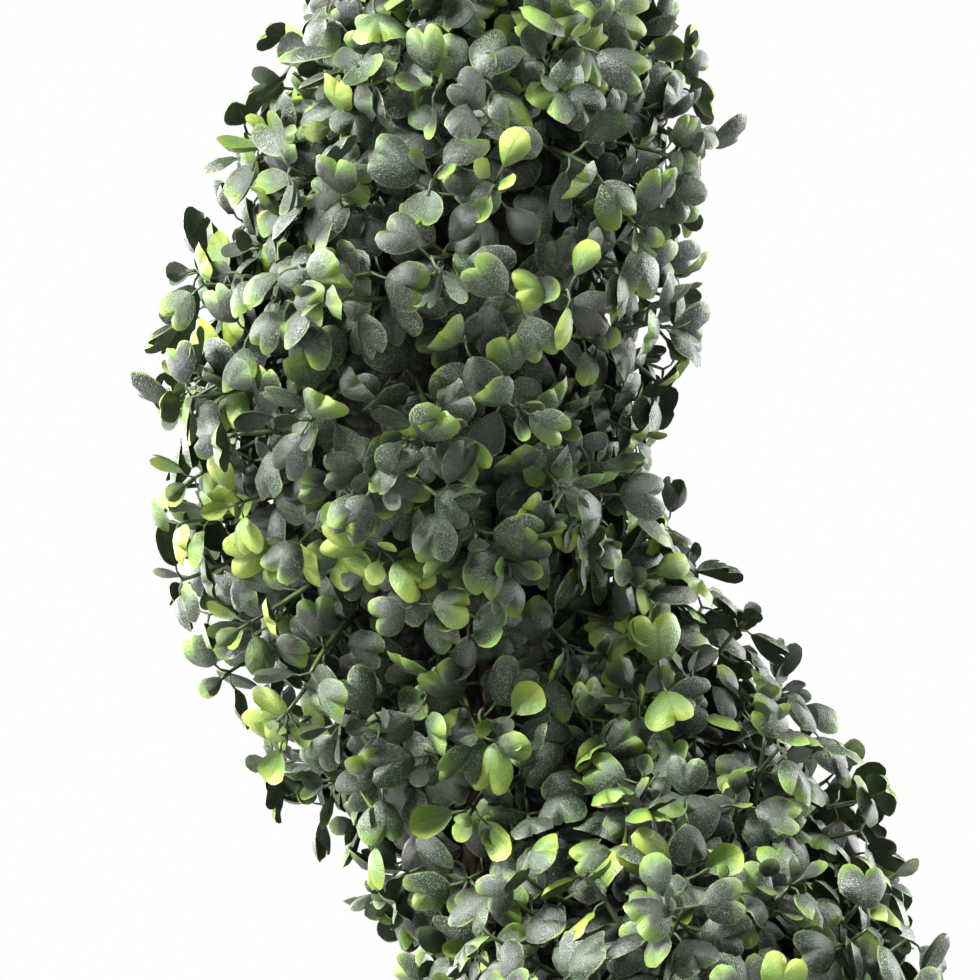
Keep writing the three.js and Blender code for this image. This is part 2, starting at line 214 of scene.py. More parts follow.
def leaf_material(name, dark, light, tip, tip_end, tip_starts, back):
    """Polyethylene leaf, moulded and then dusted with paint: a matt, sandy face that sparkles where light
    grazes its grain, pale specks that are partly frost and partly painted glints, painted shade down the
    crease, bright paint that fades in from the tip, and a thin pale mould line."""
    material, node = start_material(name)
    cells = node(STRETCHED, node(LEAF_PLACE), (CELLS_ACROSS,) * 3)
    corner = node(FLOOR, cells)
    disc = node(SCALED, node(MOVED_BACK, node(FRACTION, cells), (0.5, 0.5, 0.0)), 1 / DISC)
    out = node(LENGTH, disc)
    across, along, _ = node(SPLIT, disc)
    column, row, _ = node(SPLIT, corner)
    tone, side, early = node(SPLIT, node(LOTS, corner))
    # The disc in millimetres, moved apart for each cell, so that no two tones share a pattern
    spot = node(MOVED, node(SCALED, disc, LEAF_SPAN), node(STRETCHED, corner, (CELL_GAP,) * 3))
    grain = node(NOISE, spot, 1 / GRAIN, 2.0, 0.6)
    mottle = node(NOISE, spot, 1 / MOTTLE, 3.0)

    colour = node(MIX, node(EASED, node(PLUS, mottle, tone), 0.6, 1.4), dark, light)
    colour = node(MIX, node(EASED, grain, 0.36, 0.56, 0.6, 0.0), colour, 0x080B07)
    colour = node(MIX, node(EASED, grain, 0.52, 0.7, 0.0, 0.3), colour, 0x8FA383)
    # Pale specks: grains of sandy frost and partly painted glints, each as bright as its own lot, thicker
    # on some tones and in some patches
    sand = node(CELLS, spot, 1 / SAND, 1.0)
    lot = node(SPLIT, sand[1])[0]
    dot = node(TIMES, node(EASED, sand[0], 0.2, 0.6, 1.0, 0.0), node(EASED, lot, 0.3, 0.98))
    patch = node(TIMES, node(EASED, mottle, 0.3, 0.65, 0.35, 1.0), node(EASED, tone, 0.1, 0.9, 0.25, 0.9))
    colour = node(MIX, node(TIMES, dot, patch), colour, 0xCBDCB8)
    # Bright paint from the tip: it leans to one side, follows the edge and starts at its own place
    reach = node(WEIGHED, node(TIMES, across, node(MINUS, side, 0.5)), 1.1, along)
    for part, weight in ((mottle, 0.9), (early, 0.6), (node(POWER, out, 3.0), 0.6)):
        reach = node(WEIGHED, part, weight, reach)
    paint = node(MIX, node(EASED, reach, tip_starts + 0.7, tip_starts + 1.9), tip, tip_end)
    paint = node(MIX, node(EASED, grain, 0.5, 0.72, 0.0, 0.3), paint, 0xB4BE8E)
    colour = node(MIX, node(EASED, reach, tip_starts - 0.1, tip_starts + 1.0), colour, paint)
    # Painted shade darkens the crease down the middle, and the mould line round the edge is pale
    aside = node(SIZE, across)
    colour = node(MIX, node(EASED, aside, 0.0, 0.10, 0.35, 0.0), colour, 0x1E261D)
    edge = node(EASED, out, 0.925, 0.975, 0.0, node(EASED, mottle, 0.4, 0.62, 0.05, 0.75))
    colour = node(MIX, edge, colour, 0x859859)

    # The underside: smoother and plainer, with a paler vein
    under = node(MIX, node(EASED, aside, 0.02, 0.08, 0.55, 0.0), back, 0x6C7A58)
    under = node(MIX, node(EASED, mottle, 0.35, 0.7), under, 0x2C3729)
    under = node(MIX, node(EASED, along, 0.1, 1.2, 0.0, 0.4), under, paint)
    stalk = node(MIX, node(EASED, mottle, 0.3, 0.7), 0x3F4F2C, 0x5C6C3A)
    last_row = node(ABOVE, row, 2.5)
    colour = node(MIX, last_row, colour, node(MIX, node(ABOVE, column, 1.5), under, stalk))

    roughness = node(EITHER, last_row, node(EASED, grain, 0.4, 0.66, 0.46, 0.28), 0.42)
    rise = node(WEIGHED, dot, 0.6, node(WEIGHED, mottle, 2.5, grain))
    node(OUTPUT, node(SURFACE, colour, roughness, node(BUMP, rise, 0.25 * MM), 1.5, 0.8))
    return material


def pot_material(settings):
    """Polypropylene, injection moulded: a satin black skin with a fine grain and a little dust."""
    material, node = start_material("Moulded polypropylene")
    place = node(PLACE)
    grain = node(NOISE, place, 1 / (0.9 * MM), 2.0)
    cloud = node(NOISE, place, 1 / (38 * MM), 5.0)
    low = node(EASED, node(SPLIT, place)[2], 0.0, 40 * MM, 0.4, 0.0)
    dust = node(PLUS, node(EASED, cloud, 0.45, 0.8, 0.0, 0.22), low)
    colour = node(MIX, dust, settings.colour, 0x5A5650)
    roughness = node(EASED, cloud, 0.3, 0.75, 0.38, 0.58)
    node(OUTPUT, node(SURFACE, colour, roughness, node(BUMP, grain, 0.05 * MM), 1.49))
    return material


def cement_material(settings):
    """Cement, cast into the pot: a dry, chalky surface with dark pits and sandy grit."""
    material, node = start_material("Cast cement")
    place = node(PLACE)
    grit = node(NOISE, place, 1 / (1.6 * MM), 4.0)
    stain = node(NOISE, place, 1 / (30 * MM), 5.0)
    colour = node(MIX, node(EASED, stain, 0.3, 0.7), settings.fill_colour, 0x7A7064)
    colour = node(MIX, node(EASED, grit, 0.3, 0.5, 0.7, 0.0), colour, 0x3A332B)
    roughness = node(EASED, grit, 0.3, 0.7, 0.95, 0.8)
    node(OUTPUT, node(SURFACE, colour, roughness, node(BUMP, grit, 0.8 * MM)))
    return material


def bark_material(settings):
    """Dried bark on a bare pole: dark red-brown ridges with near-black furrows along the grain."""
    material, node = start_material("Dried bark")
    place = node(PLACE)
    stretched = node(STRETCHED, place, (1.0, 1.0, 0.14))
    ridge = node(NOISE, stretched, 1 / (2.6 * MM), 5.0)
    cloud = node(NOISE, place, 1 / (22 * MM), 3.0)
    flake = node(CELLS, stretched, 1 / (4.5 * MM), feature="DISTANCE_TO_EDGE")[0]
    crack = node(EASED, flake, 0.0, 0.12, 1.0, 0.0)
    colour = node(MIX, node(EASED, ridge, 0.35, 0.7), 0x24130D, settings.colour)
    colour = node(MIX, node(EASED, cloud, 0.45, 0.75, 0.0, 0.5), colour, 0x6B4433)
    colour = node(MIX, crack, colour, 0x150B08)
    roughness = node(EASED, ridge, 0.3, 0.7, 0.9, 0.65)
    rise = node(MINUS, ridge, node(EASED, crack, 0.0, 1.0, 0.0, 0.6))
    node(OUTPUT, node(SURFACE, colour, roughness, node(BUMP, rise, 1.2 * MM), 1.45))
    return material


def twig_material():
    """Polyethylene twig, moulded: smooth dark olive with thin glossy highlights along it."""
    material, node = start_material("Moulded polyethylene twig")
    place = node(PLACE)
    cloud = node(NOISE, place, 1 / (9 * MM), 2.0)
    grain = node(NOISE, place, 1 / (0.8 * MM), 2.0)
    colour = node(MIX, node(EASED, cloud, 0.35, 0.65), 0x28331F, 0x4A5A30)
    roughness = node(EASED, grain, 0.3, 0.7, 0.42, 0.26)
    node(OUTPUT, node(SURFACE, colour, roughness, node(BUMP, grain, 0.06 * MM)))
    return material


def core_material():
    """Polyethylene foliage mat, wound tight: crushed leaves that close the inside off. Their near-black is
    partly the mat's own dark green and partly painted shade for the deep inside of the strand.
    """
    material, node = start_material("Wound foliage mat with painted shade")
    place = node(PLACE)
    leaves = node(CELLS, place, 1 / (7 * MM))[0]
    cloud = node(NOISE, place, 1 / (3 * MM), 4.0)
    # Near-black tones: partly the mat's own colour, partly painted shade for the strand's deep inside
    colour = node(MIX, node(EASED, leaves, 0.15, 0.7), 0x333A2F, 0x171B15)
    colour = node(MIX, node(EASED, cloud, 0.5, 0.8, 0.0, 0.6), colour, 0x3B4832)
    roughness = node(EASED, cloud, 0.3, 0.7, 0.75, 0.5)
    bumps = node(BUMP, node(MINUS, cloud, leaves), 3.0 * MM)
    node(OUTPUT, node(SURFACE, colour, roughness, bumps))
    return material


def floor_material(settings):
    """Matt painted board: an even pale floor with a faint roller texture. Towards its edge it fades
    into the white behind it, as a studio's sweep does."""
    material, node = start_material("Matt painted board")
    place = node(PLACE)
    cloud = node(NOISE, place, 1 / (400 * MM), 3.0)
    stipple = node(NOISE, place, 1 / (3 * MM))
    shade = [part * 0.97 for part in settings.floor_colour]
    colour = node(MIX, node(EASED, cloud, 0.3, 0.7), settings.floor_colour, shade)
    roughness = node(EASED, cloud, 0.3, 0.7, 0.55, 0.65)
    board = node(SURFACE, colour, roughness, node(BUMP, stipple, 0.1 * MM))
    away = node(EASED, node(LENGTH, place), 0.12 * settings.floor_radius, 0.7 * settings.floor_radius)
    node(OUTPUT, node(MIX_SHADERS, away, board, node(CLEAR)))
    return material


def start_piece():
    """Nothing selected and nothing active, before a primitive is added."""
    if bpy.context.object and bpy.context.object.mode != "OBJECT":
        bpy.ops.object.mode_set(mode="OBJECT")
    bpy.ops.object.select_all(action="DESELECT")
    bpy.context.view_layer.objects.active = None


def named_piece(name):
    """The primitive just added, under its name and with its place in its mesh."""
    piece = bpy.context.object
    piece.name = piece.data.name = name
    bpy.ops.object.transform_apply(location=True, rotation=True, scale=True)
    return piece


def face_outwards(merge_distance=None):
    """Turns the faces of the active piece outwards, after its doubles are merged."""
    bpy.ops.object.mode_set(mode="EDIT")
    bpy.ops.mesh.select_all(action="SELECT")
    if merge_distance:
        bpy.ops.mesh.remove_doubles(threshold=merge_distance)
    bpy.ops.mesh.normals_make_consistent(inside=False)
    bpy.ops.object.mode_set(mode="OBJECT")


def select_ring(radius, height):
    """Selects the vertices at a distance from the Z axis and a height, in edit mode."""
    shell = bmesh.from_edit_mesh(bpy.context.object.data)
    for vertex in shell.verts:
        off = abs(math.hypot(vertex.co.x, vertex.co.y) - radius) + abs(vertex.co.z - height)
        vertex.select = off < 1e-6
    shell.select_flush(True)
    shell.select_flush(False)
    bmesh.update_edit_mesh(bpy.context.object.data)


def draw_rings(profile):
    """Extrudes the selected ring, which is the profile's first, through the rest of a profile."""
    for (radius, height), (to_radius, to_height) in zip(profile, profile[1:]):
        bpy.ops.mesh.extrude_region_move(TRANSFORM_OT_translate={"value": (0, 0, to_height - height)})
        scale = to_radius / radius
        bpy.ops.transform.resize(value=(scale, scale, 1.0))


def close_ring(rise=0.0):
    """Extrudes the selected ring and draws it together in a pole."""
    bpy.ops.mesh.extrude_region_move(TRANSFORM_OT_translate={"value": (0, 0, rise)})
    bpy.ops.mesh.merge(type="CENTER")


def turned_shell(name, profile, sides):
    """A closed shell turned about the Z axis: rings through a profile, with a pole at each end."""
    start_piece()
    radius, height = profile[0]
    bpy.ops.mesh.primitive_circle_add(vertices=sides, radius=radius, location=(0, 0, height))
    piece = named_piece(name)
    bpy.ops.object.mode_set(mode="EDIT")
    bpy.ops.mesh.select_all(action="SELECT")
    draw_rings(profile)
    close_ring()
    select_ring(radius, height)
    close_ring()
    face_outwards(1e-6)
    return piece


def rod(name, sides, cuts, caps="NGON"):
    """A rod of unit radius and unit length up the Z axis, cut across a number of times."""
    start_piece()
    bpy.ops.mesh.primitive_cylinder_add(
        vertices=sides, radius=1, depth=1, location=(0, 0, 0.5), end_fill_type=caps
    )
    piece = named_piece(name)
    if cuts:
        bpy.ops.object.mode_set(mode="EDIT")
        shell = bmesh.from_edit_mesh(piece.data)
        for edge in shell.edges:
            edge.select = abs(edge.verts[0].co.z - edge.verts[1].co.z) > 0.5
        bmesh.update_edit_mesh(piece.data)
        bpy.ops.mesh.subdivide_edgering(number_cuts=cuts, smoothness=0)
        bpy.ops.object.mode_set(mode="OBJECT")
    return piece


def vertex_places(piece):
    places = np.empty(len(piece.data.vertices) * 3)
    piece.data.vertices.foreach_get("co", places)
    return places.reshape(-1, 3)


def set_places(piece, places):
    piece.data.vertices.foreach_set("co", np.asarray(places, dtype=float).ravel())
    piece.data.update()


def join_pieces(pieces, name):
    """The pieces joined in one, under a name."""
    bpy.ops.object.select_all(action="DESELECT")
    for piece in pieces:
        piece.select_set(True)
    bpy.context.view_layer.objects.active = pieces[0]
    bpy.ops.object.join()
    joined = bpy.context.object
    joined.name = joined.data.name = name
    return joined


def dress(piece, material, slot, *nodes):
    """The piece in its material, riding on the frame's one body and standing for CAD nodes."""
    piece.data.materials.clear()
    piece.data.materials.append(material)
    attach(piece, "root")
    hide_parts(*nodes)


def unit(vectors):
    vectors = np.asarray(vectors, dtype=float)
    return vectors / np.linalg.norm(vectors, axis=-1, keepdims=True)


def eased(value, low, high):
    share = np.clip((np.asarray(value) - low) / (high - low), 0, 1)
    return share * share * (3 - 2 * share)


class Strand:
    """The centre line, its frames and the foliage's reach, by the same rules as the CAD."""

    TIP_SHARPNESS = 1.5
    FOOT_ROUNDING = 60 * MM
    FOOT_SHARE = 0.55
    SAMPLES = 2400
    CROWDING = 0.75
    LEAST_CORE = 0.42

    def __init__(self, settings):
        self.settings = settings
        self.heights = np.linspace(settings.foot_height, settings.total_height, self.SAMPLES)
        drop = np.maximum(settings.curl_start - self.heights, 0)
        radius = settings.widest * (1 - np.exp(-drop / settings.opening))
        angle = settings.start_angle - TURN * drop / settings.pitch
        self.points = np.stack([radius * np.cos(angle), radius * np.sin(angle), self.heights], axis=1)
        steps = np.linalg.norm(np.diff(self.points, axis=0), axis=1)
        self.along = np.concatenate([[0], np.cumsum(steps)])
        self.length = self.along[-1]
        self.tangents = unit(np.gradient(self.points, axis=0))
        # Sprays are dealt out by surface, so the running total of the reach gives their places
        self.surface = np.cumsum(self.reach(self.along))
        self.surface /= self.surface[-1]

    def at(self, table, along):
        return np.array([np.interp(along, self.along, table[:, axis]) for axis in range(3)])

    def frame(self, along):
        """Centre, direction along, and two directions across, turned the least from the axes."""
        ahead = unit(self.at(self.tangents, along))
        turn = Vector(UP).rotation_difference(Vector(ahead)).to_matrix()
        return self.at(self.points, along), ahead, np.array(turn.col[0]), np.array(turn.col[1])

    def reach(self, along):
        """How far the foliage reaches from the centre line: less in the tip and at the foot."""
        from_tip = self.settings.total_height - np.interp(along, self.along, self.heights)
        from_tip = np.clip(from_tip / self.settings.tip_length, 0, 1)
        tip_share = 1 - (1 - from_tip) ** self.TIP_SHARPNESS
        from_foot = np.minimum(np.asarray(along) / self.FOOT_ROUNDING, 1)
        foot_share = np.sqrt(1 - (1 - self.FOOT_SHARE**2) * (1 - from_foot) ** 2)
        return self.settings.radius * tip_share * foot_share

    def crowded(self, along, angle):
        """An angle round the strand drawn towards the curl's outer side, which has more surface."""
        centre, _, across, side = self.frame(along)
        radius = math.hypot(centre[0], centre[1])
        rise = self.settings.pitch / TURN
        bend = radius / (radius * radius + rise * rise)
        outer = math.atan2(side[:2] @ centre[:2], across[:2] @ centre[:2])
        return angle - self.CROWDING * bend * self.reach(along) * math.sin(angle - outer)

    def core(self, along):
        """How far the dark core reaches from the centre line."""
        reach = self.reach(along)
        return np.maximum(reach - self.settings.core_depth, reach * self.LEAST_CORE)


def stem_radius(settings, height):
    share = (height - settings.foot_height) / (settings.top_height - settings.foot_height)
    return settings.foot_radius + (settings.top_radius - settings.foot_radius) * np.clip(share, 0, 1)


# Bark: how far a limb's flared foot, its ridges and its knots reach, and how deep the last two are
FLARE_REACH = 9 * MM
RIDGE_LENGTH = 26 * MM
KNOT_LENGTH = 60 * MM
RIDGE_DEPTH = 0.13
KNOT_DEPTH = 0.10


def bark_limb(name, start, end, radii, sides, rings, flare):
    """A tapering limb between two points, with bark ridges moved out of its surface."""
    piece = rod(name, sides, rings, "TRIFAN")
    start, end = Vector(start), Vector(end)
    length = (end - start).length
    turn = Vector(UP).rotation_difference(end - start).to_matrix()
    for vertex in piece.data.vertices:
        x, y, share = vertex.co
        angle = math.atan2(y, x)
        cosine, sine, height = math.cos(angle), math.sin(angle), share * length
        radius = radii[0] + (radii[1] - radii[0]) * share + flare * math.exp(-height / FLARE_REACH)
        ridges = noise.fractal(Vector((cosine * 2.2, sine * 2.2, height / RIDGE_LENGTH)), 0.6, 2.2, 4)
        knots = noise.noise(Vector((cosine, sine, height / KNOT_LENGTH + 9)))
        radius *= (1 + RIDGE_DEPTH * ridges + KNOT_DEPTH * knots) * math.hypot(x, y)
        vertex.co = start + turn @ Vector((cosine * radius, sine * radius, height))
    return piece


# One blade's half outline, from the stalk round the right lobe to the notch, as shares of its
# width and length
HEART = [(0.0, 0.0), (0.12, 0.05), (0.31, 0.18), (0.45, 0.37), (0.51, 0.60), (0.485, 0.80),
         (0.395, 0.955), (0.25, 1.015), (0.095, 0.955), (0.0, 0.80)]
SPOON = [(0.0, 0.0), (0.08, 0.09), (0.20, 0.22), (0.33, 0.38), (0.40, 0.56), (0.39, 0.75),
         (0.29, 0.90), (0.14, 0.985), (0.0, 1.0)]
OUTLINE_CROWDING = 0.94
BLADE_MIDDLE = 0.53
BLADE_THICKNESS = 0.5 * MM
RAGGEDNESS = 0.010

# The stalk: its radius, how much it thins in the middle, its sag, its drop and its hold on the blade
STALK_RADIUS = 0.62 * MM
STALK_WAIST = 0.2 * MM
STALK_SAG = 0.9 * MM
STALK_DROP = 0.2 * MM
STALK_HOLD = 1.6 * MM

# The shapes of the leaves by family. Heights are in millimetres, widths and lengths are shares.
HEART_FORM = dict(
    outline=HEART, wide=1, long=1, dome=3.2, crease=1.6, curl=1.0, droop=0.9, wave=0, skew=0, stalk=1
)
SPOON_FORM = dict(
    HEART_FORM, outline=SPOON, wide=0.76, long=0.9, dome=-1.1, crease=0.2, curl=-0.7, droop=0.6
)
FORMS = {
    "full": [
        dict(HEART_FORM, seed=11),
        dict(HEART_FORM, seed=12, wide=1.05, long=0.94, dome=3.8, crease=2.1, curl=1.4),
        dict(HEART_FORM, seed=13, wide=0.9, long=1.06, dome=2.7, crease=1.3, droop=1.8),
        dict(HEART_FORM, seed=14, skew=0.16, dome=3.1, curl=1.5, droop=0.6),
        dict(HEART_FORM, seed=15, skew=-0.15, wide=0.98, crease=1.8, droop=2.4),
        dict(HEART_FORM, seed=16, dome=2.2, crease=1.1, curl=0.2, droop=0.4, wave=0.7),
        dict(HEART_FORM, seed=17, wide=0.94, dome=3.0, crease=1.4, curl=2.2, droop=1.4, long=1.05),
        dict(HEART_FORM, seed=18, wide=1.04, long=0.9, dome=3.7, crease=2.3, curl=0.4, droop=2.8),
        dict(SPOON_FORM, seed=19, wide=0.88, long=1.0, dome=2.8, crease=0.8, curl=0.8, droop=1.6),
    ],
    "cupped": [
        dict(SPOON_FORM, seed=21),
        dict(SPOON_FORM, seed=22, wide=0.88, long=1.0, dome=-1.6, curl=-1.0, droop=-0.6),
        dict(HEART_FORM, seed=23, wide=0.9, dome=-1.2, crease=0.8, curl=-1.3, droop=-0.8),
    ],
    "young": [
        dict(SPOON_FORM, seed=31, wide=0.5, long=0.68, dome=-0.7, stalk=0.7),
        dict(SPOON_FORM, seed=32, wide=0.56, long=0.62, dome=0.9, stalk=0.6),
    ],
    "under": [
        dict(HEART_FORM, seed=41, crease=1.4),
        dict(HEART_FORM, seed=42, wide=0.9, long=1.05, droop=3.0),
        dict(HEART_FORM, seed=43, skew=0.14, curl=2.2),
    ],
}
# How fine each family is: its outline's points, the rings on its upper and on its lower side, as
# shares of the outline, and the cuts of its stalk
FINENESS = {
    "full": (24, (0.74,), (), 1),
    "cupped": (20, (0.72,), (0.72,), 1),
    "young": (12, (0.65,), (0.65,), 0),
    "under": (16, (0.65,), (), 0),
}


def smooth_outline(corners, count):
    """Places along a smooth curve through the corners of half an outline."""
    corners = np.array(corners)
    before = np.concatenate([[corners[0] * (-1, 1)], corners[:-1]])
    after = np.concatenate([corners[1:], [corners[-1]]])
    slopes = (after - before) / 2
    slopes[-1] = (corners[-1] - corners[-2]) * 1.2
    shares = (len(corners) - 1) * np.linspace(0, 1, count) ** OUTLINE_CROWDING
    first = np.minimum(shares.astype(int), len(corners) - 2)
    t = (shares - first)[:, None]
    start, end = corners[first], corners[first + 1]
    return (start * (1 + 2 * t) * (1 - t) ** 2 + slopes[first] * t * (1 - t) ** 2
            + end * t * t * (3 - 2 * t) + slopes[first + 1] * t * t * (t - 1))


def leaf_blank(name, points, upper, lower):
    """A round closed blank: rings drawn in on its upper and lower side, a pole in each middle."""
    start_piece()
    bpy.ops.mesh.primitive_circle_add(vertices=points, radius=1, rotation=(0, 0, -math.pi / 2))
    blank = named_piece(name)
    bpy.ops.object.mode_set(mode="EDIT")
    for rise, shares in ((0.1, upper), (-0.1, lower)):
        select_ring(1, 0)
        draw_rings([(1.0, 0.0)] + [(share, rise * (ring + 1)) for ring, share in enumerate(shares)])
        close_ring(rise)
    face_outwards()
    return blank


def blade_height(x, y, out, form):
    """How high a place on the blade lies: domed lobes, a crease between them and bent edges."""
    width = np.abs(x) / 0.5
    dome = form["dome"] * (1 - out**2.3)
    crease = form["crease"] * np.exp(-((x / 0.12) ** 2)) * eased(y, 0.1, 0.95)
    wave = form["wave"] * np.sin(9 * y + 2.5 * np.sign(x)) * width**2
    return dome - crease - form["curl"] * width**2 - form["droop"] * y**2 + wave


def model_leaf(settings, name, form, points, upper, lower, cuts):
    """A leaf's blade and stalk: the stalk starts at the origin, and the blade lies along +Y, face up."""
    blade = leaf_blank(name, points, upper, lower)
    flat = vertex_places(blade)
    out = np.hypot(flat[:, 0], flat[:, 1])
    step = np.round((np.arctan2(flat[:, 1], flat[:, 0]) + math.pi / 2) / TURN * points)
    step = step.astype(int) % points
    half = np.minimum(step, points - step)
    right = np.where(step <= points // 2, 1.0, -1.0)
    outline = smooth_outline(form["outline"], points // 2 + 1)[half]
    ragged = np.random.default_rng(form["seed"]).normal(0, RAGGEDNESS, (points, 2))[step]
    edge_x = outline[:, 0] * right * (1 + form["skew"] * right) + ragged[:, 0]
    edge_y = outline[:, 1] * np.where(outline[:, 1] > 0.5, 1 + form["skew"] * 0.25 * right, 1)
    edge_y = edge_y + ragged[:, 1] * (half > 0)
    x = out * edge_x
    y = BLADE_MIDDLE + out * (edge_y - BLADE_MIDDLE)
    z = blade_height(x, y, out, form) * MM - np.where(flat[:, 2] < -0.01, BLADE_THICKNESS, 0)
    length, width = settings.length * form["long"], settings.width * form["wide"]
    stalk_length = settings.stalk * form["stalk"]
    set_places(blade, np.stack([x * width, y * length + stalk_length, z], axis=1))

    stalk = rod(name + "_stalk", 3, cuts)
    x, z, share = vertex_places(stalk).T
    belly = np.sin(share * math.pi)
    thick = STALK_RADIUS - STALK_WAIST * belly
    y = share * (stalk_length + STALK_HOLD)
    set_places(stalk, np.stack([x * thick, y, z * thick * 0.8 + STALK_SAG * belly - STALK_DROP], axis=1))
    return Template(blade, flat), Template(stalk)


class Template:
    """A small mesh read into arrays, to be copied many times into joined meshes. The piece it is
    read from is taken away. A blade comes with its flat places, a disc for the UV map."""

    def __init__(self, piece, flat=None):
        mesh = piece.data
        self.places = vertex_places(piece)
        self.corners = self.read(mesh.loops, "vertex_index")
        self.starts = self.read(mesh.polygons, "loop_start")
        sizes = self.read(mesh.polygons, "loop_total")
        # Which part of the leaf each corner is on: 0 upper side, 1 underside, 2 stalk
        self.part = np.full(len(self.corners), 2)
        self.rim = np.zeros(len(self.places), dtype=bool)
        if flat is None:
            low, high = self.places.min(axis=0), self.places.max(axis=0)
            flat = (self.places - low) / (high - low) - 0.5
        else:
            self.rim = np.hypot(flat[:, 0], flat[:, 1]) > 0.999
            lowest = np.minimum.reduceat(flat[self.corners, 2], self.starts)
            self.part = np.repeat(lowest < -0.01, sizes).astype(int)
        self.disc = flat[self.corners, :2]
        bpy.data.meshes.remove(mesh)

    @staticmethod
    def read(items, name):
        values = np.empty(len(items), dtype=np.int32)
        items.foreach_get(name, values)
        return values

    def cells(self, tones):
        """Each copy's corners in the UV map, in the cell of their part of the leaf and its tone."""
        number = tones[:, None]
        rows = np.where(self.part == 0, number // CELLS_ACROSS, CELLS_ACROSS - 1)
        columns = np.choose(self.part, (number % CELLS_ACROSS, number % 2, number % 2 + 2))
        return (np.stack([columns, rows], axis=-1) + 0.5 + DISC * self.disc) / CELLS_ACROSS


def joined_copies(name, batches):
    """One mesh of every template at every frame of its batch: (template, frames, tones or None)."""
    places, rims, corners, starts, uvs = [], [], [], [], []
    vertex_count = corner_count = 0
    for template, frames, tones in batches:
        if not len(frames):
            continue
        number = np.arange(len(frames))[:, None]
        turned = np.einsum("cij,vj->cvi", frames[:, :, :3], template.places) + frames[:, None, :, 3]
        places.append(turned.ravel())
        rims.append(np.tile(template.rim, len(frames)))
        corners.append((template.corners + vertex_count + number * len(template.places)).ravel())
        starts.append((template.starts + corner_count + number * len(template.corners)).ravel())
        if tones is not None:
            uvs.append(template.cells(tones).ravel())
        vertex_count += len(rims[-1])
        corner_count += len(corners[-1])
    starts, rims = np.concatenate(starts), np.concatenate(rims)
    mesh = bpy.data.meshes.new(name)
    mesh.vertices.add(vertex_count)
    mesh.vertices.foreach_set("co", np.concatenate(places))
    mesh.loops.add(corner_count)
    mesh.loops.foreach_set("vertex_index", np.concatenate(corners).astype(np.int32))
    mesh.polygons.add(len(starts))
    mesh.polygons.foreach_set("loop_start", starts.astype(np.int32))
    mesh.update(calc_edges=True)
    ends = np.empty(len(mesh.edges) * 2, dtype=np.int32)
    mesh.edges.foreach_get("vertices", ends)
    sharp = rims[ends.reshape(-1, 2)].all(axis=1)
    mesh.attributes.new("sharp_edge", "BOOLEAN", "EDGE").data.foreach_set("value", sharp)
    if uvs:
        mesh.uv_layers.new(name=LEAF_UV).data.foreach_set("uv", np.concatenate(uvs))
    if mesh.validate():
        raise RuntimeError(f"the copies in {name} don't make a sound mesh")
    piece = bpy.data.objects.new(name, mesh)
    bpy.context.scene.collection.objects.link(piece)
    return piece


# A twig: its bend and its taper, as shares, and the shares of its length where its leaves stand
TWIG_BEND = 0.16
TWIG_TAPER = 0.4
TWIG_RADIUS = 1.0 * MM
TWIG_NODES = (0.34, 0.66, 1.0)
FOOT_NODE = 0.1
ROOT_DEPTH = 3 * MM
LEAST_TWIG = 9 * MM

# What is drawn by lot for a spray, from the least to the most: angles in degrees, the rest as shares
LEAN = (-24, 30)
TILT = (-26, 26)
DROOP = (-0.1, 0.3)
TWIG_REACH = (0.76, 0.86)
SPREADS = {"foot": (70, 95), "pair": (60, 96), "top": (52, 86), "young": (16, 40)}
PAIR_SIZE = (0.82, 1.1)
LEAF_SIZE = (0.92, 1.06)
LEAF_SAG = (0.0, 0.42)
# How far leaves turn round the twig and roll on their stalks at random, in radians
TURN_SCATTER = 0.18
ROLL_SCATTER = 0.42
FOOT_ROLL_SCATTER = 0.2
# The sag of the leaf at a twig's foot and of the young ones at its tip
FIXED_SAG = 0.1

# The kinds of leaf. The lots below which a spray is lime or tipped, an inner leaf shows its spray's
# kind, a leaf is tipped or cupped, and a spray has a young pair at its tip
DARK, TIPPED, LIME = range(3)
KINDS = ("dark", "tipped", "lime")
LIME_LOT = 0.17
TIPPED_LOT = 0.70
INNER_LOT = 0.4
STRAY_LOT = 0.1
CUPPED_LOT = 0.14
YOUNG_LOT = 0.42

# Where the strand is thin the leaves are smaller: the least size, and the reach of full-sized ones
LEAST_SIZE = 0.62
FULL_REACH = 52 * MM
# How far a spray's furthest leaf stands out of the reach, in millimetres: the most, by how much less
# it may, and the power that keeps most of them far out. Then the limits of the move that brings it
# there, and where on its blade a leaf is measured.
PROUD = 10
PROUD_RANGE = 17
PROUD_POWER = 1.6
MOST_MOVED = (-26 * MM, 10 * MM)
BLADE_REACH = 0.97
# How far sprays stray along the strand, in millimetres, and round it, in radians, how far from its
# ends they stay, and how often one that meets the stem is grown again
ALONG_SCATTER = 2.5
ANGLE_SCATTER = 0.05
FOOT_MARGIN = 6 * MM
TIP_MARGIN = 8 * MM
STEM_ROOM = 1.5 * MM
SPRAY_TRIES = 6


def model_twig():
    """A four-sided twig of unit length along +Z that thins towards its tip."""
    twig = rod("twig", 4, 4)
    places = vertex_places(twig)
    places[:, :2] *= 1 - TWIG_TAPER * places[:, 2:]
    set_places(twig, places)
    return Template(twig)


def turned_about(vector, axis, angle):
    """A vector turned about a unit axis."""
    return (vector * math.cos(angle) + np.cross(axis, vector) * math.sin(angle)
            + axis * np.dot(axis, vector) * (1 - math.cos(angle)))


